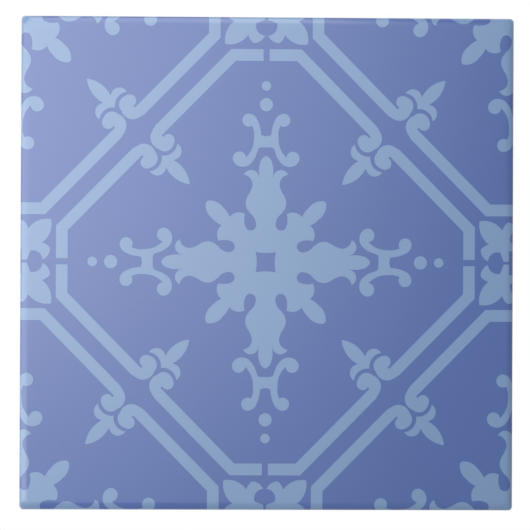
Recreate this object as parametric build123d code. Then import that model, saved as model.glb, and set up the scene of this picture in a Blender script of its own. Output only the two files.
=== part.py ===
"""Square glazed ceramic wall tile, pressed and fired as one piece.

The flat face rolls down to a cushion edge on all four sides, the sides lean in
towards the back, and the back is pressed with shallow pockets that leave a grid
of ribs for the adhesive to key to.

The origin is the middle of the back, +Z points out of the glazed face, and X and
Y run along the sides.
"""

import os
from math import cos, radians, sin, tan

from build123d import *

# Driving dimensions, in millimetres and degrees.

# The whole tile
tile_side = 108.0  # across the face, edge to edge
tile_thickness = 6.0

# The cushion edge, a quarter of an ellipse in section
cushion_width = 1.8  # band along each edge over which the face rolls down
cushion_drop = 0.9  # how far the face falls over that band
face_corner_radius = 2.2  # rounding of the flat face's own four corners

# The sides and the rim of the back
side_draft = 3.0  # lean of the sides, in towards the back
corner_radius = 0.6  # rounding of the four upright corners, at the back
back_arris = 0.25  # rounding between the sides and the back

# The keyed back
pockets_per_row = 6  # in as many rows
rim_width = 7.0  # plain rim between the sides and the outer pockets
rib_width = 2.5  # left standing between two pockets
pocket_depth = 0.7
pocket_corner = 1.2  # rounding of a pocket's corners at its mouth
pocket_wall_angle = 35.0  # lean of a pocket's walls from the upright

# Worked out from the above: the shoulder is where the sides end and the roll begins.
shoulder_height = tile_thickness - cushion_drop
side_lean = shoulder_height * tan(radians(side_draft))
shoulder_corner_radius = corner_radius + side_lean

# The pockets share what the rim and the ribs leave of the back.
pocket_room = tile_side - 2 * (side_lean + rim_width) - (pockets_per_row - 1) * rib_width
pocket_side = pocket_room / pockets_per_row


def outline(inset, radius, height):
    """The tile's rounded square outline, taken in from the edge, at a height above the back."""
    side = tile_side - 2 * inset
    return Plane.XY.offset(height) * RectangleRounded(side, side, radius)


def cushion_outline(turn):
    """The outline where the roll has turned this many degrees from the upright side."""
    inset = cushion_width * (1 - cos(radians(turn)))
    height = shoulder_height + cushion_drop * sin(radians(turn))
    rounding = face_corner_radius - shoulder_corner_radius
    return outline(inset, shoulder_corner_radius + rounding * inset / cushion_width, height)


def pressed_blank():
    """The tile without its keyed back: leaning sides, cushion edge and flat face."""
    sides = extrude(outline(side_lean, corner_radius, 0), shoulder_height, taper=-side_draft)
    cushion = loft([cushion_outline(turn) for turn in range(0, 91, 10)])
    blank = sides + cushion
    back = blank.faces().sort_by(Axis.Z)[0]
    return fillet(back.edges(), back_arris)


def key_pockets():
    """The pockets of the back, a square grid of shallow tapered hollows."""
    pitch = pocket_side + rib_width
    mouth = RectangleRounded(pocket_side, pocket_side, pocket_corner)
    pocket = extrude(mouth, pocket_depth, taper=pocket_wall_angle)
    places = GridLocations(pitch, pitch, pockets_per_row, pockets_per_row)
    return [place * pocket for place in places]


def ceramic_tile():
    """The finished tile, one solid."""
    return pressed_blank() - key_pockets()


os.makedirs("parts", exist_ok=True)
export_step(ceramic_tile(), "parts/ceramic_tile.step")
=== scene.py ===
"""Looks of the patterned tile: a glazed wall tile with a printed blue lattice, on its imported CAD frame.

Laid out as an add-on, run as a script. Lengths are metres, as in the frame, apart from the printed
ornament, which is drawn in millimetres.
"""

from collections import namedtuple
from math import cos, pi, radians, sin, tan

import bmesh
import bpy
from bpy.props import FloatProperty, FloatVectorProperty, IntProperty, PointerProperty
from mathutils import Color, Matrix, Vector


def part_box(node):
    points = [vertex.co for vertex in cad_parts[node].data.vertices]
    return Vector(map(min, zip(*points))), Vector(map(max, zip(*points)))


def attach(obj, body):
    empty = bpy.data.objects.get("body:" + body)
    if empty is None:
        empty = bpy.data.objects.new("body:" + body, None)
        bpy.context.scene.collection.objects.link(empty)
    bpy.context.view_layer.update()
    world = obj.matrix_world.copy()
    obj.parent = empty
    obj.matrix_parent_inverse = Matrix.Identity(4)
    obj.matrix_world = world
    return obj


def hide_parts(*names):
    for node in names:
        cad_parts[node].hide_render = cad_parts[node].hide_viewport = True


bl_info = {
    "name": "Patterned Tile",
    "version": (1, 0, 0),
    "blender": (4, 5, 0),
    "location": "View3D > Sidebar > Tile",
    "description": "Builds a square glazed wall tile with a printed lattice ornament, and its stage",
    "category": "Add Mesh",
}

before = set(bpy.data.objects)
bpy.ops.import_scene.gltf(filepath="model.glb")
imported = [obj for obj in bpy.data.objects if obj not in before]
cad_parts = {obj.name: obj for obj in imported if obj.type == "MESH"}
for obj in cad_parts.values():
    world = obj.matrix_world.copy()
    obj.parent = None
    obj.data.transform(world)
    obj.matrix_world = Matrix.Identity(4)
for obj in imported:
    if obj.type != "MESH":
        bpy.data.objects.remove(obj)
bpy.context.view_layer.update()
tile_low, tile_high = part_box("ceramic_tile")

BAKE_MAP = "OFBake"
MILLIMETRE = 0.001
SENSOR_WIDTH = 36.0  # of the camera, in millimetres
WHITE = (1.0, 1.0, 1.0, 1.0)


# Settings

def length(name, description, default):
    """A length in metres."""
    return FloatProperty(
        name=name, description=description, default=default, precision=5, unit="LENGTH",
    )


def angle(name, description, degrees):
    """An angle, given here in degrees."""
    return FloatProperty(name=name, description=description, default=radians(degrees), subtype="ANGLE")


def share(name, description, default):
    """A plain number from 0 to 1."""
    return FloatProperty(
        name=name, description=description, default=default, min=0, max=1, subtype="FACTOR",
    )


def level(name, description, default):
    """A brightness, where 1 is white."""
    return FloatProperty(name=name, description=description, default=default, min=0)


def count(name, description, default):
    """A whole number, 1 or more."""
    return IntProperty(name=name, description=description, default=default, min=1)


def span(name, description, *default):
    """Two or three lengths in metres, such as a place or where a fade starts and ends."""
    return FloatVectorProperty(
        name=name, description=description, default=default,
        size=len(default), precision=5, subtype="TRANSLATION", unit="LENGTH",
    )


def colour(name, description, *levels):
    """A colour as a paint chart gives it, in levels from 0 to 255."""
    return FloatVectorProperty(
        name=name, description=description, default=[part / 255 for part in levels],
        size=3, min=0, max=1, subtype="COLOR_GAMMA",
    )


class TileShape(bpy.types.PropertyGroup):
    """Sizes of the pressed tile, which are those of the CAD solid."""

    side: length("Side", "Across the face, edge to edge", tile_high.x - tile_low.x)
    thickness: length("Thickness", "From the back to the face", tile_high.z - tile_low.z)
    cushion_width: length("Cushion width", "Band along each edge over which the face rolls down", 0.0018)
    cushion_drop: length("Cushion drop", "How far the face falls over that band", 0.0009)
    face_corner: length("Face corner", "Rounding of the flat face's own four corners", 0.0022)
    side_draft: angle("Side draft", "Lean of the sides, in towards the back", 3.0)
    back_corner: length("Back corner", "Rounding of the four upright corners, at the back", 0.0006)
    back_arris: length("Back arris", "Rounding between the sides and the back", 0.00025)
    pockets_per_row: count("Pockets per row", "In as many rows", 6)
    rim_width: length("Rim width", "Plain rim between the sides and the outer pockets", 0.007)
    rib_width: length("Rib width", "Left standing between two pockets", 0.0025)
    pocket_depth: length("Pocket depth", "How deep the back is pressed", 0.0007)
    pocket_corner: length("Pocket corner", "Rounding of a pocket's corners at its mouth", 0.0012)
    pocket_wall: angle("Pocket wall", "Lean of a pocket's walls from the upright", 35.0)
    pocket_edge: length("Pocket edge", "Softening along a pocket's mouth and floor", 0.00012)
    face_margin: length("Face margin", "Ring of faces along the flat face's rim", 0.0003)
    roll_steps: count("Roll steps", "Rings over the rolled edge", 16)
    arris_steps: count("Arris steps", "Rings round the arris of the back", 4)
    corner_steps: count("Corner steps", "Facets round a corner", 8)


class TilePrint(bpy.types.PropertyGroup):
    """The printed ornament's inks and its place on the face."""

    ground: colour("Ground", "The deeper blue behind the ornament", 86, 108, 166)
    ornament: colour("Ornament", "The pale blue of the ornament", 124, 151, 188)
    tone: FloatVectorProperty(
        name="Tone", description="Least and most depth of the inks over the face", size=2,
        default=(0.975, 1.02),
    )
    place: span("Place", "Middle of the ornament on the face", -0.000342, 0.00028)
    stretch: FloatVectorProperty(
        name="Stretch", description="Draw of the print along the face's two sides", size=2,
        default=(0.9889, 1.006),
    )
    softness: length("Softness", "Width over which the ink's edge fades", 0.00008)


class TileFinish(bpy.types.PropertyGroup):
    """The glaze and the bare body under it."""

    glaze: colour("Bare glaze", "The unprinted glaze below the print on the sides", 226, 228, 230)
    glaze_roughness: share("Glaze roughness", "Gloss of the fired glaze", 0.12)
    glaze_index: FloatProperty(
        name="Glaze index", description="Refractive index of the glaze", default=1.573, min=1,
    )
    print_reach: length("Print reach", "How far the print runs down the sides", 0.0007)
    glaze_reach: length("Glaze reach", "How far the glaze runs down the sides", 0.0019)
    print_blur: length("Print blur", "Width over which the print's lower end fades", 0.0002)
    glaze_blur: length("Glaze blur", "Width over which the glaze's lower end fades", 0.00016)
    edge_wander: length("Edge wander", "How unevenly print and glaze end", 0.0005)
    # Partly painted shade: the print is paled towards the bare glaze low on the rolled rim. This stands
    # for the thinner glaze there and also for a painted shade that greys the rim.
    edge_pallor: share("Edge pallor", "How far the print pales where the glaze thins at the edge", 0.25)
    edge_rise: length("Edge rise", "How far up the roll the print is paler", 0.00055)
    biscuit: colour("Biscuit", "The bare fired body", 222, 212, 196)
    biscuit_grains: colour("Biscuit grains", "The palest grains of the bare body", 255, 250, 242)
    biscuit_specks: colour("Biscuit specks", "The dark specks of the bare body", 133, 110, 87)
    biscuit_mottle: share("Biscuit mottle", "How much darker its clouds are", 0.07)
    grain_strength: share("Grain strength", "How clearly the pale grains show", 0.35)
    speck_strength: share("Speck strength", "How clearly the dark specks show", 0.7)
    biscuit_roughness: share("Biscuit roughness", "Dullness of the bare body", 0.88)
    relief: length("Relief", "Thickness of the glaze, and height of the bare body's grit", 0.00006)
    glaze_ripple: share("Glaze ripple", "Height of the glaze's ripples, as a share of the relief", 0.3)
    side_grit: share("Side grit", "Height of the sides' grit, as a share of the relief", 0.5)
    back_relief: share("Back relief", "How strongly the relief shows on the back", 0.6)
    face_relief: share("Face relief", "How strongly the relief shows on face and sides", 0.4)


class TileStage(bpy.types.PropertyGroup):
    """The floor, the light and the camera."""

    camera_place: span("Camera place", "From the middle of the tile's back", -0.0154, -0.00334, 0.6)
    camera_tip: angle("Camera tip", "Turn about X, from looking straight down", 0.283)
    camera_lean: angle("Camera lean", "Turn about Y, from looking straight down", -1.4385)
    camera_roll: angle("Camera roll", "Turn about the view itself", 0.247)
    focal_length: FloatProperty(
        name="Focal length", description="In millimetres", default=184.37, unit="CAMERA",
    )
    board_height: length("Board height", "Height of the light board above the floor", 0.356)
    board_reach: length("Board reach", "From above the tile's middle to three of its edges", 1.0)
    board_far_edge: length("Board far edge", "From there to its edge along +Y", 0.9)
    glow_fade_x: span("Glow fade across", "Where it is full and where it ends, along X", -0.105, 0.087)
    glow_fade_y: span("Glow fade along", "Where it is full and where it ends, along Y", -0.005, -0.161)
    glow_skew: share("Glow skew", "How far the fade across moves along X for each step along Y", 0.28)
    glow_edge: span("Glow edge", "How far it stays full along -X and +Y, and its end", 0.15, 0.25)
    far_strip: span("Far strip", "Middle of the bright strip past the glow's far side", -0.035, 0.545)
    far_strip_x: span("Far strip across", "From its middle to its fade and end, along X", 0.06, 0.12)
    far_strip_y: span("Far strip along", "From its middle to its fade and end, along Y", 0.355, 0.39)
    left_strip: span("Left strip", "Middle of the bright strip past the glow's left side", -0.565, 0.0)
    left_strip_x: span("Left strip across", "From its middle to its fade and end, along X", 0.435, 0.465)
    left_strip_y: span("Left strip along", "From its middle to its fade and end, along Y", 0.11, 0.17)
    board_level: level("Board level", "Brightness of its lit part", 3.9)
    board_dim: level("Board dim", "Brightness of its unlit part", 0.22)
    room_level: level("Room level", "Brightness of the room", 0.162)
    under_level: level("Under level", "Mean brightness of the room below the floor", 0.9)
    floor_reach: length("Floor reach", "From the middle of the floor to its edges", 3.0)
    floor_lap: length("Floor lap", "How far the floor reaches in under the tile", 0.0008)
    floor_sink: length("Floor sink", "How far below the tile's back it lies", 0.00002)
    floor_grey: share("Floor grey", "How much of the light on it the floor throws back", 0.9)
    floor_shade: share("Floor shade", "How much of that light shows where the floor is seen", 0.15)
    floor_white: share("Floor white", "The white that the floor keeps in the tile's shadow", 0.92)


# Nodes

def add_node(tree, kind, inputs=None, **settings):
    """A new node with its settings made and its inputs given, as values or as links."""
    made = tree.nodes.new(kind)
    for name, value in settings.items():
        setattr(made, name, value)
    for key, value in (inputs or {}).items():
        if isinstance(value, bpy.types.NodeSocket):
            tree.links.new(value, made.inputs[key])
        else:
            made.inputs[key].default_value = value
    return made


def maths(tree, operation, *values):
    """The result of one step of arithmetic."""
    return add_node(tree, "ShaderNodeMath", dict(enumerate(values)), operation=operation).outputs[0]


def ramp(tree, value, start, end, low=0.0, high=1.0):
    """The value carried from the span start..end to the span low..high, and held there."""
    inputs = {"Value": value, "From Min": start, "From Max": end, "To Min": low, "To Max": high}
    return add_node(tree, "ShaderNodeMapRange", inputs, clamp=True).outputs[0]


def mixed(tree, amount, first, second, blend="MIX"):
    """Two colours mixed by an amount from 0 to 1."""
    made = add_node(tree, "ShaderNodeMix", data_type="RGBA", blend_type=blend)
    named = {"Factor_Float": amount, "A_Color": first, "B_Color": second}
    for socket in made.inputs:
        value = named.get(socket.identifier)
        if isinstance(value, bpy.types.NodeSocket):
            tree.links.new(value, socket)
        elif value is not None:
            socket.default_value = value
    return next(socket for socket in made.outputs if socket.identifier == "Result_Color")


def noise(tree, place, clouds):
    """Cloudy noise about 0.5."""
    inputs = {
        "Vector": place,
        "Scale": clouds.per_metre,
        "Detail": clouds.detail,
        "Roughness": clouds.roughness,
    }
    return add_node(tree, "ShaderNodeTexNoise", inputs, noise_dimensions="3D").outputs[0]


def drift(tree, place, clouds, low=0.0, high=1.0):
    """Cloudy noise, with the part of its range that is used carried to the span low..high."""
    return ramp(tree, noise(tree, place, clouds), clouds.start, clouds.end, low, high)


def paint(levels):
    """A chart colour as the renderer's own linear colour, with its alpha."""
    return (*Color(levels).from_srgb_to_scene_linear(), 1.0)


def grey(amount):
    """A linear grey, with its alpha."""
    return (amount, amount, amount, 1.0)


def new_group(name, inputs, outputs):
    """An empty shader group with its sockets, and the two ends of it."""
    tree = bpy.data.node_groups.new(name, "ShaderNodeTree")
    for label, kind in inputs.items():
        tree.interface.new_socket(label, in_out="INPUT", socket_type=kind)
    for label, kind in outputs.items():
        tree.interface.new_socket(label, in_out="OUTPUT", socket_type=kind)
    return tree, tree.nodes.new("NodeGroupInput"), tree.nodes.new("NodeGroupOutput")


def new_material(name):
    """An empty material, its tree and its output."""
    material = bpy.data.materials.new(name)
    material.use_nodes = True
    tree = material.node_tree
    tree.nodes.clear()
    return material, tree, tree.nodes.new("ShaderNodeOutputMaterial")


# The ornament

HALF_REPEAT = 56.586  # from the middle of a rosette to the middle of the next small one
BAND_OUTSIDE = (54.16, 0)  # where the band's slanting outer side would meet the axis
BAND_INSIDE = (50.6, 0)  # and its inner side
DIAGONAL = (1, 1)
ACROSS_DIAGONAL = (-1, 1)


class Pen:
    """Draws flat shapes with shader nodes.

    A shape is a socket that gives each point's distance from the shape's outline in millimetres, below
    zero inside. Points are given as (u, v), with u along the axis that runs out of the rosette.
    """

    def __init__(self, tree, point):
        self.tree = tree
        self.point = point
        axes = add_node(tree, "ShaderNodeSeparateXYZ", {"Vector": point})
        self.u = axes.outputs["X"]
        self.v = axes.outputs["Y"]

    def disc(self, centre, radius):
        """A full circle."""
        inputs = {0: self.point, 1: (*centre, 0)}
        reach = add_node(self.tree, "ShaderNodeVectorMath", inputs, operation="DISTANCE")
        return maths(self.tree, "SUBTRACT", reach.outputs["Value"], radius)

    def behind(self, point, facing):
        """All that lies behind a straight line through a point, which faces one way."""
        facing = Vector((*facing, 0)).normalized()
        inputs = {0: self.point, 1: facing}
        along = add_node(self.tree, "ShaderNodeVectorMath", inputs, operation="DOT_PRODUCT")
        return maths(self.tree, "SUBTRACT", along.outputs["Value"], facing.dot(Vector((*point, 0))))

    def before(self, u):
        """All that lies nearer along the axis."""
        return maths(self.tree, "SUBTRACT", self.u, u)

    def beyond(self, u):
        """All that lies further along the axis."""
        return maths(self.tree, "SUBTRACT", u, self.u)

    def below(self, v):
        """All that lies nearer to the axis."""
        return maths(self.tree, "SUBTRACT", self.v, v)

    def above(self, v):
        """All that lies further from the axis."""
        return maths(self.tree, "SUBTRACT", v, self.v)

    def fold(self, operation, shapes):
        """All the shapes put together, one after another."""
        result, *others = shapes
        for shape in others:
            result = maths(self.tree, operation, result, shape)
        return result

    def join(self, *shapes):
        """What lies in any of the shapes."""
        return self.fold("MINIMUM", shapes)

    def common(self, *shapes):
        """What lies in all of the shapes."""
        return self.fold("MAXIMUM", shapes)

    def cut(self, shape, *tools):
        """The shape without the tools."""
        return self.common(shape, *[maths(self.tree, "MULTIPLY", tool, -1.0) for tool in tools])

    def blend(self, first, second, fillet):
        """Two shapes joined, with their inner corner filled."""
        return maths(self.tree, "SMOOTH_MIN", first, second, fillet)


def drop_opening(pen):
    """The round end of the opening beside the bud's neck."""
    return pen.disc((8.06, 3.38), 1.18)


def rosette(pen):
    """The middle rosette: a lobed ring with drop-shaped openings and a leaf on each diagonal."""
    disc = pen.disc((0, 0), 8.0)
    lobe = pen.disc((8.2, 5.95), 2.61)
    mouth = pen.common(pen.disc((9.2, -0.74), 5.53), pen.beyond(8.06))
    leaf = pen.join(pen.disc((7.55, 13.33), 5.78), pen.disc((9.6, 12.45), 3.75))
    leaf = pen.common(leaf, pen.behind((13.1, 13.1), DIAGONAL))
    return pen.join(pen.cut(pen.join(disc, lobe), drop_opening(pen), mouth), leaf)


def bud(pen):
    """The bud that grows out of the rosette along the axis, and opens in three tips."""
    neck = pen.common(pen.before(10.9), pen.below(3.6))
    neck = pen.cut(neck, pen.disc((8.06, 5.21), 3.065), drop_opening(pen))
    belly = pen.disc((12.85, 1.82), 2.67)
    waist = pen.common(pen.beyond(14.2), pen.before(17.3), pen.below(4.1))
    waist = pen.cut(waist, pen.disc((17.8, 8.4), 5.5))
    tip = pen.join(pen.disc((18.3, 3.3), 1.76), pen.common(pen.before(18.4), pen.below(3.5)))
    tip = pen.common(pen.cut(tip, pen.disc((16.9, 5.17), 2.15)), pen.beyond(16.9))
    tongue = pen.common(pen.disc((19.8, -4.4), 6.0), pen.beyond(16.0), pen.before(21.2))
    tongue_end = pen.disc((21.08, -0.83), 2.23)
    return pen.join(neck, belly, waist, tip, tongue, tongue_end)


def square_eye(pen):
    """The square in the middle of the rosette, with hollow sides."""
    return pen.cut(pen.before(4.0), pen.disc((12.5, 0), 10.5))


def scroll(pen):
    """The pair of scrolls across the axis, joined by a short bar."""
    bar = pen.common(pen.beyond(25.0), pen.before(27.4), pen.below(2.5))
    hollow = pen.disc((27.19, 8.75), 6.15)
    inner_back = pen.common(pen.behind((24.0, 1.98), (-0.325, -0.946)), pen.beyond(22.8))
    inner_back = pen.common(inner_back, pen.before(27.4), pen.below(4.5))
    inner_turn = pen.join(pen.disc((24.01, 5.24), 3.04), pen.disc((23.3, 5.18), 2.56))
    outer_back = pen.common(pen.disc((27.49, 8.98), 7.83), pen.beyond(25.0))
    outer_back = pen.common(outer_back, pen.before(30.9), pen.below(4.5))
    outer_turn = pen.disc((30.3, 3.83), 1.96)
    arms = pen.cut(pen.join(inner_back, inner_turn, outer_back, outer_turn), hollow)
    arms = pen.blend(arms, bar, 0.9)
    inner_end = pen.disc((22.59, 5.92), 1.47)
    outer_end = pen.disc((30.9, 3.88), 1.42)
    return pen.join(arms, inner_end, outer_end)


def beads(pen):
    """The two beads on the axis, past the scrolls."""
    return pen.join(pen.disc((34.3, 0), 1.44), pen.disc((38.37, 0), 1.04))


def band(pen):
    """The lattice band: across the axis, then along the diagonal to the crossing."""
    outside = pen.common(pen.before(46.37), pen.behind(BAND_OUTSIDE, DIAGONAL))
    inside = pen.common(pen.before(43.81), pen.behind(BAND_INSIDE, DIAGONAL))
    end = pen.behind((29.5, 24.6), ACROSS_DIAGONAL)
    return pen.common(pen.cut(outside, inside), pen.above(0.68), end)


def curl(pen):
    """The rolled end of a band where two bands cross."""
    knob = pen.disc((26.47, 21.6), 1.31)
    cheek = pen.disc((25.92, 22.47), 1.93)
    chin = pen.disc((27.03, 23.01), 2.62)
    jaw = pen.common(pen.disc((26.06, 20.17), 5.58), pen.beyond(26.9))
    jaw = pen.common(jaw, pen.behind(BAND_OUTSIDE, DIAGONAL))
    slot = pen.common(pen.behind(BAND_INSIDE, DIAGONAL), pen.behind((27.3, 22.97), ACROSS_DIAGONAL))
    brow = pen.blend(knob, pen.common(cheek, pen.before(26.4)), 0.8)
    return pen.join(brow, pen.cut(pen.join(cheek, chin, jaw), slot))


def fleur(pen):
    """The three-leaved flower at the crossing: a pointed leaf between two horns."""
    leaf = pen.disc((16.16, 23.48), 6.64)
    horn = pen.disc((24.07, 20.67), 1.92)
    heel = pen.disc((22.74, 21.65), 1.41)
    return pen.cut(pen.join(leaf, horn, heel), pen.disc((26.08, 22.65), 3.01))


def small_rosette(pen):
    """The small rosette at the far end of the axis, with an eye in each lobe."""
    leaf = pen.disc((52.4, 8.19), 5.04)
    lobe = pen.common(pen.disc((50.41, 2.85), 2.71), pen.disc((50.14, 1.19), 2.95))
    core = pen.common(pen.beyond(50.5), pen.below(4.0))
    eye = pen.common(pen.disc((51.45, 0.24), 2.13), pen.behind((52.15, 2.0), (1, 0.383)))
    slit = pen.common(pen.beyond(52.0), pen.below(0.3))
    hole = pen.common(pen.beyond(54.0), pen.below(2.6))
    return pen.cut(pen.join(leaf, lobe, core), eye, slit, hole)


def folded_point(tree, place):
    """The point in the one triangle that is drawn.

    The ornament mirrors across both axes and both diagonals of a rosette, and across the diagonal
    between two rosettes.
    """
    mirrored = add_node(tree, "ShaderNodeVectorMath", {0: place}, operation="ABSOLUTE")
    axes = add_node(tree, "ShaderNodeSeparateXYZ", {"Vector": mirrored.outputs["Vector"]})
    u = maths(tree, "MAXIMUM", axes.outputs["X"], axes.outputs["Y"])
    v = maths(tree, "MINIMUM", axes.outputs["X"], axes.outputs["Y"])
    past = maths(tree, "SUBTRACT", maths(tree, "ADD", u, v), HALF_REPEAT)
    past = maths(tree, "MAXIMUM", past, 0.0)
    inputs = {"X": maths(tree, "SUBTRACT", u, past), "Y": maths(tree, "SUBTRACT", v, past)}
    return add_node(tree, "ShaderNodeCombineXYZ", inputs).outputs["Vector"]


def ornament_group(settings):
    """Where the ornament is printed, from the place on the tile: 1 on it, 0 on the ground."""
    tree, start, end = new_group(
        "printed_ornament", {"Place": "NodeSocketVector"}, {"Amount": "NodeSocketFloat"}
    )
    scale = (settings.stretch[0] * MILLIMETRE, settings.stretch[1] * MILLIMETRE, MILLIMETRE)
    inputs = {"Vector": start.outputs["Place"], "Location": (*settings.place, 0), "Scale": scale}
    drawn = add_node(tree, "ShaderNodeMapping", inputs, vector_type="TEXTURE").outputs["Vector"]
    pen = Pen(tree, folded_point(tree, drawn))
    middle = pen.cut(pen.join(rosette(pen), bud(pen)), square_eye(pen))
    border = pen.join(scroll(pen), beads(pen), band(pen), curl(pen), fleur(pen), small_rosette(pen))
    fade = settings.softness / MILLIMETRE / 2
    ink = ramp(tree, pen.join(middle, border), -fade, fade, 1.0, 0.0)
    tree.links.new(ink, end.inputs["Amount"])
    return tree


# Materials

Clouds = namedtuple("Clouds", "per_metre detail roughness start end")

MOTTLE = Clouds(per_metre=70, detail=4.0, roughness=0.6, start=0.35, end=0.65)
GRAIN = Clouds(per_metre=1800, detail=3.0, roughness=0.6, start=0.3, end=0.7)
SPECKS = Clouds(per_metre=900, detail=1.0, roughness=0.5, start=0.71, end=0.76)
PITS = Clouds(per_metre=520, detail=2.0, roughness=0.5, start=0.22, end=0.4)
INK_TONE = Clouds(per_metre=28, detail=3.0, roughness=0.5, start=0.3, end=0.7)
EDGE_WANDER = Clouds(per_metre=150, detail=3.0, roughness=0.5, start=0.25, end=0.75)
RIPPLE = Clouds(per_metre=160, detail=2.0, roughness=0.5, start=0.0, end=1.0)


def biscuit_group(finish):
    """Bare fired clay: its colour, mottled and specked, and the height of its grain from 0 to 1."""
    tree, start, end = new_group(
        "biscuit_grain",
        {"Place": "NodeSocketVector"},
        {"Colour": "NodeSocketColor", "Height": "NodeSocketFloat"},
    )
    place = start.outputs["Place"]
    dusky = paint([part * (1 - finish.biscuit_mottle) for part in finish.biscuit])
    grain = noise(tree, place, GRAIN)
    grains = ramp(tree, grain, GRAIN.start, GRAIN.end, 0.0, finish.grain_strength)
    specks = drift(tree, place, SPECKS, 0.0, finish.speck_strength)
    body = mixed(tree, drift(tree, place, MOTTLE), paint(finish.biscuit), dusky)
    body = mixed(tree, grains, body, paint(finish.biscuit_grains))
    body = mixed(tree, specks, body, paint(finish.biscuit_specks))
    tree.links.new(body, end.inputs["Colour"])
    height = maths(tree, "ADD", grain, drift(tree, place, PITS))
    tree.links.new(maths(tree, "MULTIPLY", height, 0.5), end.inputs["Height"])
    return tree


def object_place(tree):
    """The place on the piece, in metres from its origin."""
    return add_node(tree, "ShaderNodeTexCoord").outputs["Object"]


def bare_biscuit(finish, grain):
    """The back: unglazed, dull and slightly gritty."""
    material, tree, output = new_material("bare_biscuit")
    body = add_node(tree, "ShaderNodeGroup", {}, node_tree=grain)
    tree.links.new(object_place(tree), body.inputs["Place"])
    bump = add_node(tree, "ShaderNodeBump", {
        "Height": body.outputs["Height"],
        "Strength": finish.back_relief,
        "Distance": finish.relief,
    })
    surface = add_node(tree, "ShaderNodeBsdfPrincipled", {
        "Base Color": body.outputs["Colour"],
        "Roughness": finish.biscuit_roughness,
        "Normal": bump.outputs["Normal"],
    })
    tree.links.new(surface.outputs["BSDF"], output.inputs["Surface"])
    return material


def printed_glaze(shape, printing, finish, grain):
    """Face, rolled edge and sides: the print under a clear gloss, then bare glaze, then biscuit."""
    material, tree, output = new_material("printed_glaze")
    place = object_place(tree)
    ornament = add_node(tree, "ShaderNodeGroup", {}, node_tree=ornament_group(printing))
    tree.links.new(place, ornament.inputs["Place"])
    body = add_node(tree, "ShaderNodeGroup", {}, node_tree=grain)
    tree.links.new(place, body.inputs["Place"])

    inks = mixed(tree, ornament.outputs["Amount"], paint(printing.ground), paint(printing.ornament))
    inks = mixed(tree, 1.0, inks, drift(tree, place, INK_TONE, *printing.tone), "MULTIPLY")

    shoulder = shape.thickness - shape.cushion_drop
    height = add_node(tree, "ShaderNodeSeparateXYZ", {"Vector": place}).outputs["Z"]
    # The print paled towards the bare glaze low on the roll: thin glaze there, and also painted shade of
    # the rolled rim, which greys it
    paled_and_shaded = ramp(tree, height, shoulder, shoulder + finish.edge_rise, finish.edge_pallor, 0.0)
    inks = mixed(tree, paled_and_shaded, inks, paint(finish.glaze))
    wander = drift(tree, place, EDGE_WANDER, -finish.edge_wander, finish.edge_wander)
    print_end = maths(tree, "ADD", height, wander)
    print_end = maths(tree, "SUBTRACT", print_end, shoulder - finish.print_reach)
    printed = ramp(tree, print_end, -finish.print_blur / 2, finish.print_blur / 2)
    glaze_end = maths(tree, "SUBTRACT", height, wander)
    glaze_end = maths(tree, "SUBTRACT", glaze_end, shoulder - finish.glaze_reach)
    glazed = ramp(tree, glaze_end, -finish.glaze_blur / 2, finish.glaze_blur / 2)
    skin = mixed(tree, printed, paint(finish.glaze), inks)

    ripple = maths(tree, "MULTIPLY", noise(tree, place, RIPPLE), finish.glaze_ripple)
    glaze_height = maths(tree, "ADD", ripple, glazed)
    grit = maths(tree, "MULTIPLY", body.outputs["Height"], finish.side_grit)
    bump = add_node(tree, "ShaderNodeBump", {
        "Height": mixed(tree, glazed, grit, glaze_height),
        "Strength": finish.face_relief,
        "Distance": finish.relief,
    })
    surface = add_node(tree, "ShaderNodeBsdfPrincipled", {
        "Base Color": mixed(tree, glazed, body.outputs["Colour"], skin),
        "Roughness": ramp(tree, glazed, 0.0, 1.0, finish.biscuit_roughness, finish.glaze_roughness),
        "IOR": finish.glaze_index,
        "Normal": bump.outputs["Normal"],
    })
    tree.links.new(surface.outputs["BSDF"], output.inputs["Surface"])
    return material


# The tile

GLAZE_SLOT = 0
BISCUIT_SLOT = 1
FACE_SHARE = 0.74  # of the bake's map, along each side, for the face with its edges
MAP_GAP = 0.01  # left between the two parts of that map
LEAST_CORNER = 0.1  # of the back corner's rounding, kept where the arris turns in under the tile


def rounded_square(bm, side, radius, height, steps, centre=(0, 0)):
    """One level face, a square with rounded corners."""
    known = set(bm.faces)
    lift = Matrix.Translation((*centre, height))
    square = bmesh.ops.create_grid(bm, x_segments=1, y_segments=1, size=side / 2, matrix=lift)
    bmesh.ops.bevel(
        bm, geom=square["verts"], offset=radius, offset_type="OFFSET", affect="VERTICES",
        segments=steps, profile=0.5, material=-1,
    )
    return (set(bm.faces) - known).pop()


def bridged(bm, rings):
    """The wall over a row of rings, whose first and last faces stay."""
    walls = []
    for lower, upper in zip(rings, rings[1:]):
        walls += bmesh.ops.bridge_loops(bm, edges=[*lower.edges, *upper.edges])["faces"]
    bmesh.ops.delete(bm, geom=rings[1:-1], context="FACES_ONLY")
    return walls


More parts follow.
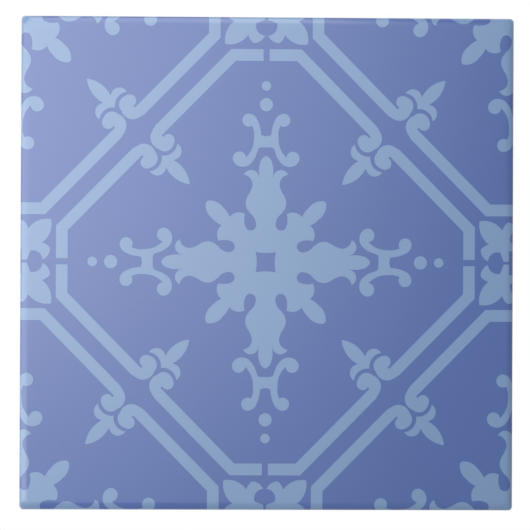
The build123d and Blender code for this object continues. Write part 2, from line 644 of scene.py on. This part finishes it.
def blank_rings(bm, shape):
    """Outlines of the tile from the back, round its arris, up the sides and over the roll to the face."""
    shoulder = shape.thickness - shape.cushion_drop
    lean = shoulder * tan(shape.side_draft)
    shoulder_corner = shape.back_corner + lean
    least_corner = shape.back_corner * LEAST_CORNER

    def ring(inset, radius, height):
        """One outline, set in from the widest."""
        return rounded_square(bm, shape.side - 2 * inset, radius, height, shape.corner_steps)

    rings = []
    arris_turn = pi / 2 + shape.side_draft
    arris_reach = shape.back_arris * tan(arris_turn / 2)
    arris_inset = lean + arris_reach
    for step in range(shape.arris_steps + 1):
        turn = arris_turn * step / shape.arris_steps
        inset = arris_inset - shape.back_arris * sin(turn)
        height = shape.back_arris * (1 - cos(turn))
        rings.append(ring(inset, max(shoulder_corner - inset, least_corner), height))
    for step in range(shape.roll_steps + 1):
        turn = pi / 2 * step / shape.roll_steps
        inset = shape.cushion_width * (1 - cos(turn))
        height = shoulder + shape.cushion_drop * sin(turn)
        growth = (shape.face_corner - shoulder_corner) * inset / shape.cushion_width
        rings.append(ring(inset, shoulder_corner + growth, height))
    return rings


def pocket_rings(bm, shape, side, centre):
    """Outlines of one pocket of the back, from its softened mouth down to its floor."""
    edge = shape.pocket_edge
    depth = shape.pocket_depth
    slope = tan(shape.pocket_wall)
    # Steps inward and down, in widths of the softened edge, about the mouth and about the floor's rim
    mouth = ((-1.0, 0.0), (0.1, 0.35), (slope + 0.3, 1.4))
    floor = ((-0.5, -0.9), (0.3, -0.2), (1.4, 0.0))
    profile = [(edge * inward, edge * down) for inward, down in mouth]
    profile += [(depth * slope + edge * inward, depth + edge * down) for inward, down in floor]
    steps = shape.corner_steps // 2
    return [
        rounded_square(bm, side - 2 * inset, shape.pocket_corner - inset, height, steps, centre)
        for inset, height in profile
    ]


def pocket_centres(shape, side):
    """The middles of the pockets, in a square grid about the middle of the back."""
    pitch = side + shape.rib_width
    middle = (shape.pockets_per_row - 1) / 2
    steps = [(number - middle) * pitch for number in range(shape.pockets_per_row)]
    return [(x, y) for x in steps for y in steps]


def tile_mesh(shape):
    """The tile's mesh: the pressed blank with its keyed back, its two material slots and its bake map."""
    bm = bmesh.new()
    blank = blank_rings(bm, shape)
    glazed = bridged(bm, blank)
    back, face = blank[0], blank[-1]
    margin = shape.face_margin
    glazed += bmesh.ops.inset_region(bm, faces=[face], thickness=margin, use_even_offset=True)["faces"]

    lean = (shape.thickness - shape.cushion_drop) * tan(shape.side_draft)
    ribs = (shape.pockets_per_row - 1) * shape.rib_width
    pocket_side = (shape.side - 2 * (lean + shape.rim_width) - ribs) / shape.pockets_per_row
    plate_edges = list(back.edges)
    biscuit = []
    floors = []
    mouths = []
    for centre in pocket_centres(shape, pocket_side):
        rings = pocket_rings(bm, shape, pocket_side, centre)
        biscuit += bridged(bm, rings)
        plate_edges += rings[0].edges
        mouths.append(rings[0])
        floors.append(rings[-1])
    bmesh.ops.delete(bm, geom=[back, *mouths], context="FACES_ONLY")
    filled = bmesh.ops.triangle_fill(bm, use_beauty=True, edges=plate_edges, normal=(0, 0, -1))
    plate = [part for part in filled["geom"] if isinstance(part, bmesh.types.BMFace)]

    for part in glazed + biscuit:
        part.smooth = True
    for part in [*glazed, face]:
        part.material_index = GLAZE_SLOT
    for part in biscuit + floors + plate:
        part.material_index = BISCUIT_SLOT
    bmesh.ops.recalc_face_normals(bm, faces=bm.faces)
    lay_out_map(bm, shape)
    mesh = bpy.data.meshes.new("glazed_tile")
    bm.to_mesh(mesh)
    bm.free()
    return mesh


def lay_out_map(bm, shape):
    """The bake's map: the face with its edges folded out flat, and the back beside it, smaller."""
    layer = bm.loops.layers.uv.new(BAKE_MAP)
    half = shape.side / 2
    middle = FACE_SHARE / 2
    back_share = 1 - FACE_SHARE - MAP_GAP
    back_middle = 1 - back_share / 2
    face_scale = (middle - MAP_GAP / 2) / (half + shape.thickness)
    back_scale = (back_share / 2 - MAP_GAP / 2) / half
    for part in bm.faces:
        for loop in part.loops:
            place = loop.vert.co
            if part.material_index == BISCUIT_SLOT:
                loop[layer].uv = place.xy * back_scale + Vector((back_middle, back_middle))
            else:
                unfolded = 1 + (shape.thickness - place.z) / half
                loop[layer].uv = place.xy * unfolded * face_scale + Vector((middle, middle))


class TILE_OT_glazed_tile(bpy.types.Operator):
    """Make the tile: its mesh, its printed glaze and its bare back"""

    bl_idname = "tile.glazed_tile"
    bl_label = "Glazed Tile"
    bl_options = {"REGISTER", "UNDO"}

    def execute(self, context):
        scene = context.scene
        tile = bpy.data.objects.new("glazed_tile", tile_mesh(scene.tile_shape))
        scene.collection.objects.link(tile)
        grain = biscuit_group(scene.tile_finish)
        glaze = printed_glaze(scene.tile_shape, scene.tile_print, scene.tile_finish, grain)
        tile.data.materials.append(glaze)
        tile.data.materials.append(bare_biscuit(scene.tile_finish, grain))
        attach(tile, "root")
        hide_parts("ceramic_tile")
        return {"FINISHED"}


# The stage

def flat_sheet(name, low, high, height, material, border=0.0):
    """A level sheet of the stage between two corners, or only a border along its edges."""
    low, high = Vector(low), Vector(high)
    spread = Matrix.Diagonal((*(high - low) / 2, 1, 1))
    lift = Matrix.Translation((*(high + low) / 2, height))
    bm = bmesh.new()
    bmesh.ops.create_grid(bm, x_segments=1, y_segments=1, size=1, matrix=lift @ spread)
    if border:
        middle = bm.faces[:]
        bmesh.ops.inset_region(bm, faces=middle, thickness=border, use_even_offset=True)
        bmesh.ops.delete(bm, geom=middle, context="FACES_ONLY")
    mesh = bpy.data.meshes.new(name)
    bm.to_mesh(mesh)
    bm.free()
    mesh.materials.append(material)
    sheet = bpy.data.objects.new(name, mesh)
    bpy.context.scene.collection.objects.link(sheet)
    return sheet


def seen_rays(tree):
    """1 for what the camera sees, straight or in a mirror or through glass, and 0 for light."""
    path = add_node(tree, "ShaderNodeLightPath")
    seen = maths(tree, "MAXIMUM", path.outputs["Is Camera Ray"], path.outputs["Is Glossy Ray"])
    return maths(tree, "MAXIMUM", seen, path.outputs["Is Transmission Ray"])


def white_floor(stage):
    """A white floor that takes the tile's shadow, and that isn't there from below."""
    material, tree, output = new_material("white_floor")
    giving = add_node(tree, "ShaderNodeBsdfDiffuse", {"Color": grey(stage.floor_grey)})
    shadowed = add_node(tree, "ShaderNodeBsdfDiffuse", {"Color": grey(stage.floor_shade)})
    white = add_node(tree, "ShaderNodeEmission", {"Strength": stage.floor_white})
    seen = add_node(tree, "ShaderNodeAddShader")
    tree.links.new(shadowed.outputs["BSDF"], seen.inputs[0])
    tree.links.new(white.outputs["Emission"], seen.inputs[1])
    top = add_node(tree, "ShaderNodeMixShader", {0: seen_rays(tree)})
    tree.links.new(giving.outputs["BSDF"], top.inputs[1])
    tree.links.new(seen.outputs["Shader"], top.inputs[2])
    below = add_node(tree, "ShaderNodeNewGeometry").outputs["Backfacing"]
    gone = add_node(tree, "ShaderNodeBsdfTransparent")
    sheet = add_node(tree, "ShaderNodeMixShader", {0: below})
    tree.links.new(top.outputs["Shader"], sheet.inputs[1])
    tree.links.new(gone.outputs["BSDF"], sheet.inputs[2])
    tree.links.new(sheet.outputs["Shader"], output.inputs["Surface"])
    return material


def patch(tree, axes, middle, fade_x, fade_y):
    """A rectangle with soft edges: 1 about its middle, fading to 0."""
    sides = []
    for axis, place, fade in zip("XY", middle, (fade_x, fade_y)):
        away = maths(tree, "ABSOLUTE", maths(tree, "SUBTRACT", axes.outputs[axis], place))
        sides.append(ramp(tree, away, *fade, 1.0, 0.0))
    return maths(tree, "MULTIPLY", *sides)


def board_glow(stage):
    """The light board's glow: full towards the tile's upper left, with a strip past both sides."""
    material, tree, output = new_material("board_glow")
    axes = add_node(tree, "ShaderNodeSeparateXYZ", {"Vector": object_place(tree)})
    x, y = axes.outputs["X"], axes.outputs["Y"]
    skewed = maths(tree, "SUBTRACT", x, maths(tree, "MULTIPLY", y, stage.glow_skew))
    full, end = stage.glow_edge
    fades = (
        ramp(tree, skewed, *stage.glow_fade_x, 1.0, 0.0),
        ramp(tree, y, *stage.glow_fade_y, 1.0, 0.0),
        ramp(tree, x, -full, -end, 1.0, 0.0),
        ramp(tree, y, full, end, 1.0, 0.0),
    )
    lit = fades[0]
    for fade in fades[1:]:
        lit = maths(tree, "MULTIPLY", lit, fade)
    far_strip = patch(tree, axes, stage.far_strip, stage.far_strip_x, stage.far_strip_y)
    left_strip = patch(tree, axes, stage.left_strip, stage.left_strip_x, stage.left_strip_y)
    lit = maths(tree, "MAXIMUM", lit, maths(tree, "MAXIMUM", far_strip, left_strip))
    strength = ramp(tree, lit, 0.0, 1.0, stage.board_dim, stage.board_level)
    glow = add_node(tree, "ShaderNodeEmission", {"Strength": strength})
    tree.links.new(glow.outputs["Emission"], output.inputs["Surface"])
    return material


def room_light(stage):
    """The room: white where it is seen, dim as a light, and lit from one side below the floor."""
    world = bpy.data.worlds.new("room")
    world.use_nodes = True
    tree = world.node_tree
    tree.nodes.clear()
    way = add_node(tree, "ShaderNodeTexCoord").outputs["Generated"]
    axes = add_node(tree, "ShaderNodeSeparateXYZ", {"Vector": way})
    under = maths(tree, "LESS_THAN", axes.outputs["Z"], 0.0)
    sidelight = ramp(tree, axes.outputs["X"], -1.0, 1.0, stage.under_level * 2, 0.0)
    light = maths(tree, "MAXIMUM", maths(tree, "MULTIPLY", under, sidelight), stage.room_level)
    strength = ramp(tree, seen_rays(tree), 0.0, 1.0, light, 1.0)
    sky = add_node(tree, "ShaderNodeBackground", {"Color": WHITE, "Strength": strength})
    output = add_node(tree, "ShaderNodeOutputWorld")
    tree.links.new(sky.outputs["Background"], output.inputs["Surface"])
    return world


class TILE_OT_stage(bpy.types.Operator):
    """Set the stage: floor, light board, room and camera"""

    bl_idname = "tile.stage"
    bl_label = "Stage"
    bl_options = {"REGISTER", "UNDO"}

    def execute(self, context):
        scene = context.scene
        stage = scene.tile_stage
        reach = stage.floor_reach
        border = reach - scene.tile_shape.side / 2 + stage.floor_lap
        floor = white_floor(stage)
        flat_sheet("floor", (-reach, -reach), (reach, reach), -stage.floor_sink, floor, border)
        reach = stage.board_reach
        far_corner = (reach, stage.board_far_edge)
        glow = board_glow(stage)
        board = flat_sheet("light_board", (-reach, -reach), far_corner, stage.board_height, glow)
        board.visible_camera = False
        scene.world = room_light(stage)

        camera = bpy.data.objects.new("camera", bpy.data.cameras.new("camera"))
        camera.location = stage.camera_place
        camera.rotation_euler = (stage.camera_tip, stage.camera_lean, stage.camera_roll)
        camera.data.sensor_width = SENSOR_WIDTH
        camera.data.lens = stage.focal_length
        scene.collection.objects.link(camera)
        scene.camera = camera
        scene.view_settings.view_transform = "Standard"
        return {"FINISHED"}


# The sidebar

class TILE_PT_sidebar(bpy.types.Panel):
    """The tile's settings and its two steps"""

    bl_label = "Patterned Tile"
    bl_space_type = "VIEW_3D"
    bl_region_type = "UI"
    bl_category = "Tile"

    def draw(self, context):
        layout = self.layout
        for settings, operator in SIDEBAR:
            for name in settings:
                group = getattr(context.scene, name)
                box = layout.box()
                for key in group.bl_rna.properties.keys():
                    if key not in {"rna_type", "name"}:
                        box.prop(group, key)
            layout.operator(operator)


SETTINGS = {
    "tile_shape": TileShape,
    "tile_print": TilePrint,
    "tile_finish": TileFinish,
    "tile_stage": TileStage,
}
SIDEBAR = (
    (("tile_shape", "tile_print", "tile_finish"), "tile.glazed_tile"),
    (("tile_stage",), "tile.stage"),
)
CLASSES = (*SETTINGS.values(), TILE_OT_glazed_tile, TILE_OT_stage, TILE_PT_sidebar)


def register():
    """Add the settings, the two operators and the sidebar."""
    for made in CLASSES:
        bpy.utils.register_class(made)
    for name, settings in SETTINGS.items():
        setattr(bpy.types.Scene, name, PointerProperty(type=settings))


def unregister():
    """Take them away again."""
    for name in SETTINGS:
        delattr(bpy.types.Scene, name)
    for made in reversed(CLASSES):
        bpy.utils.unregister_class(made)


def main():
    """Build the tile and its stage."""
    register()
    bpy.ops.tile.glazed_tile()
    bpy.ops.tile.stage()


if __name__ == "__main__":
    main()
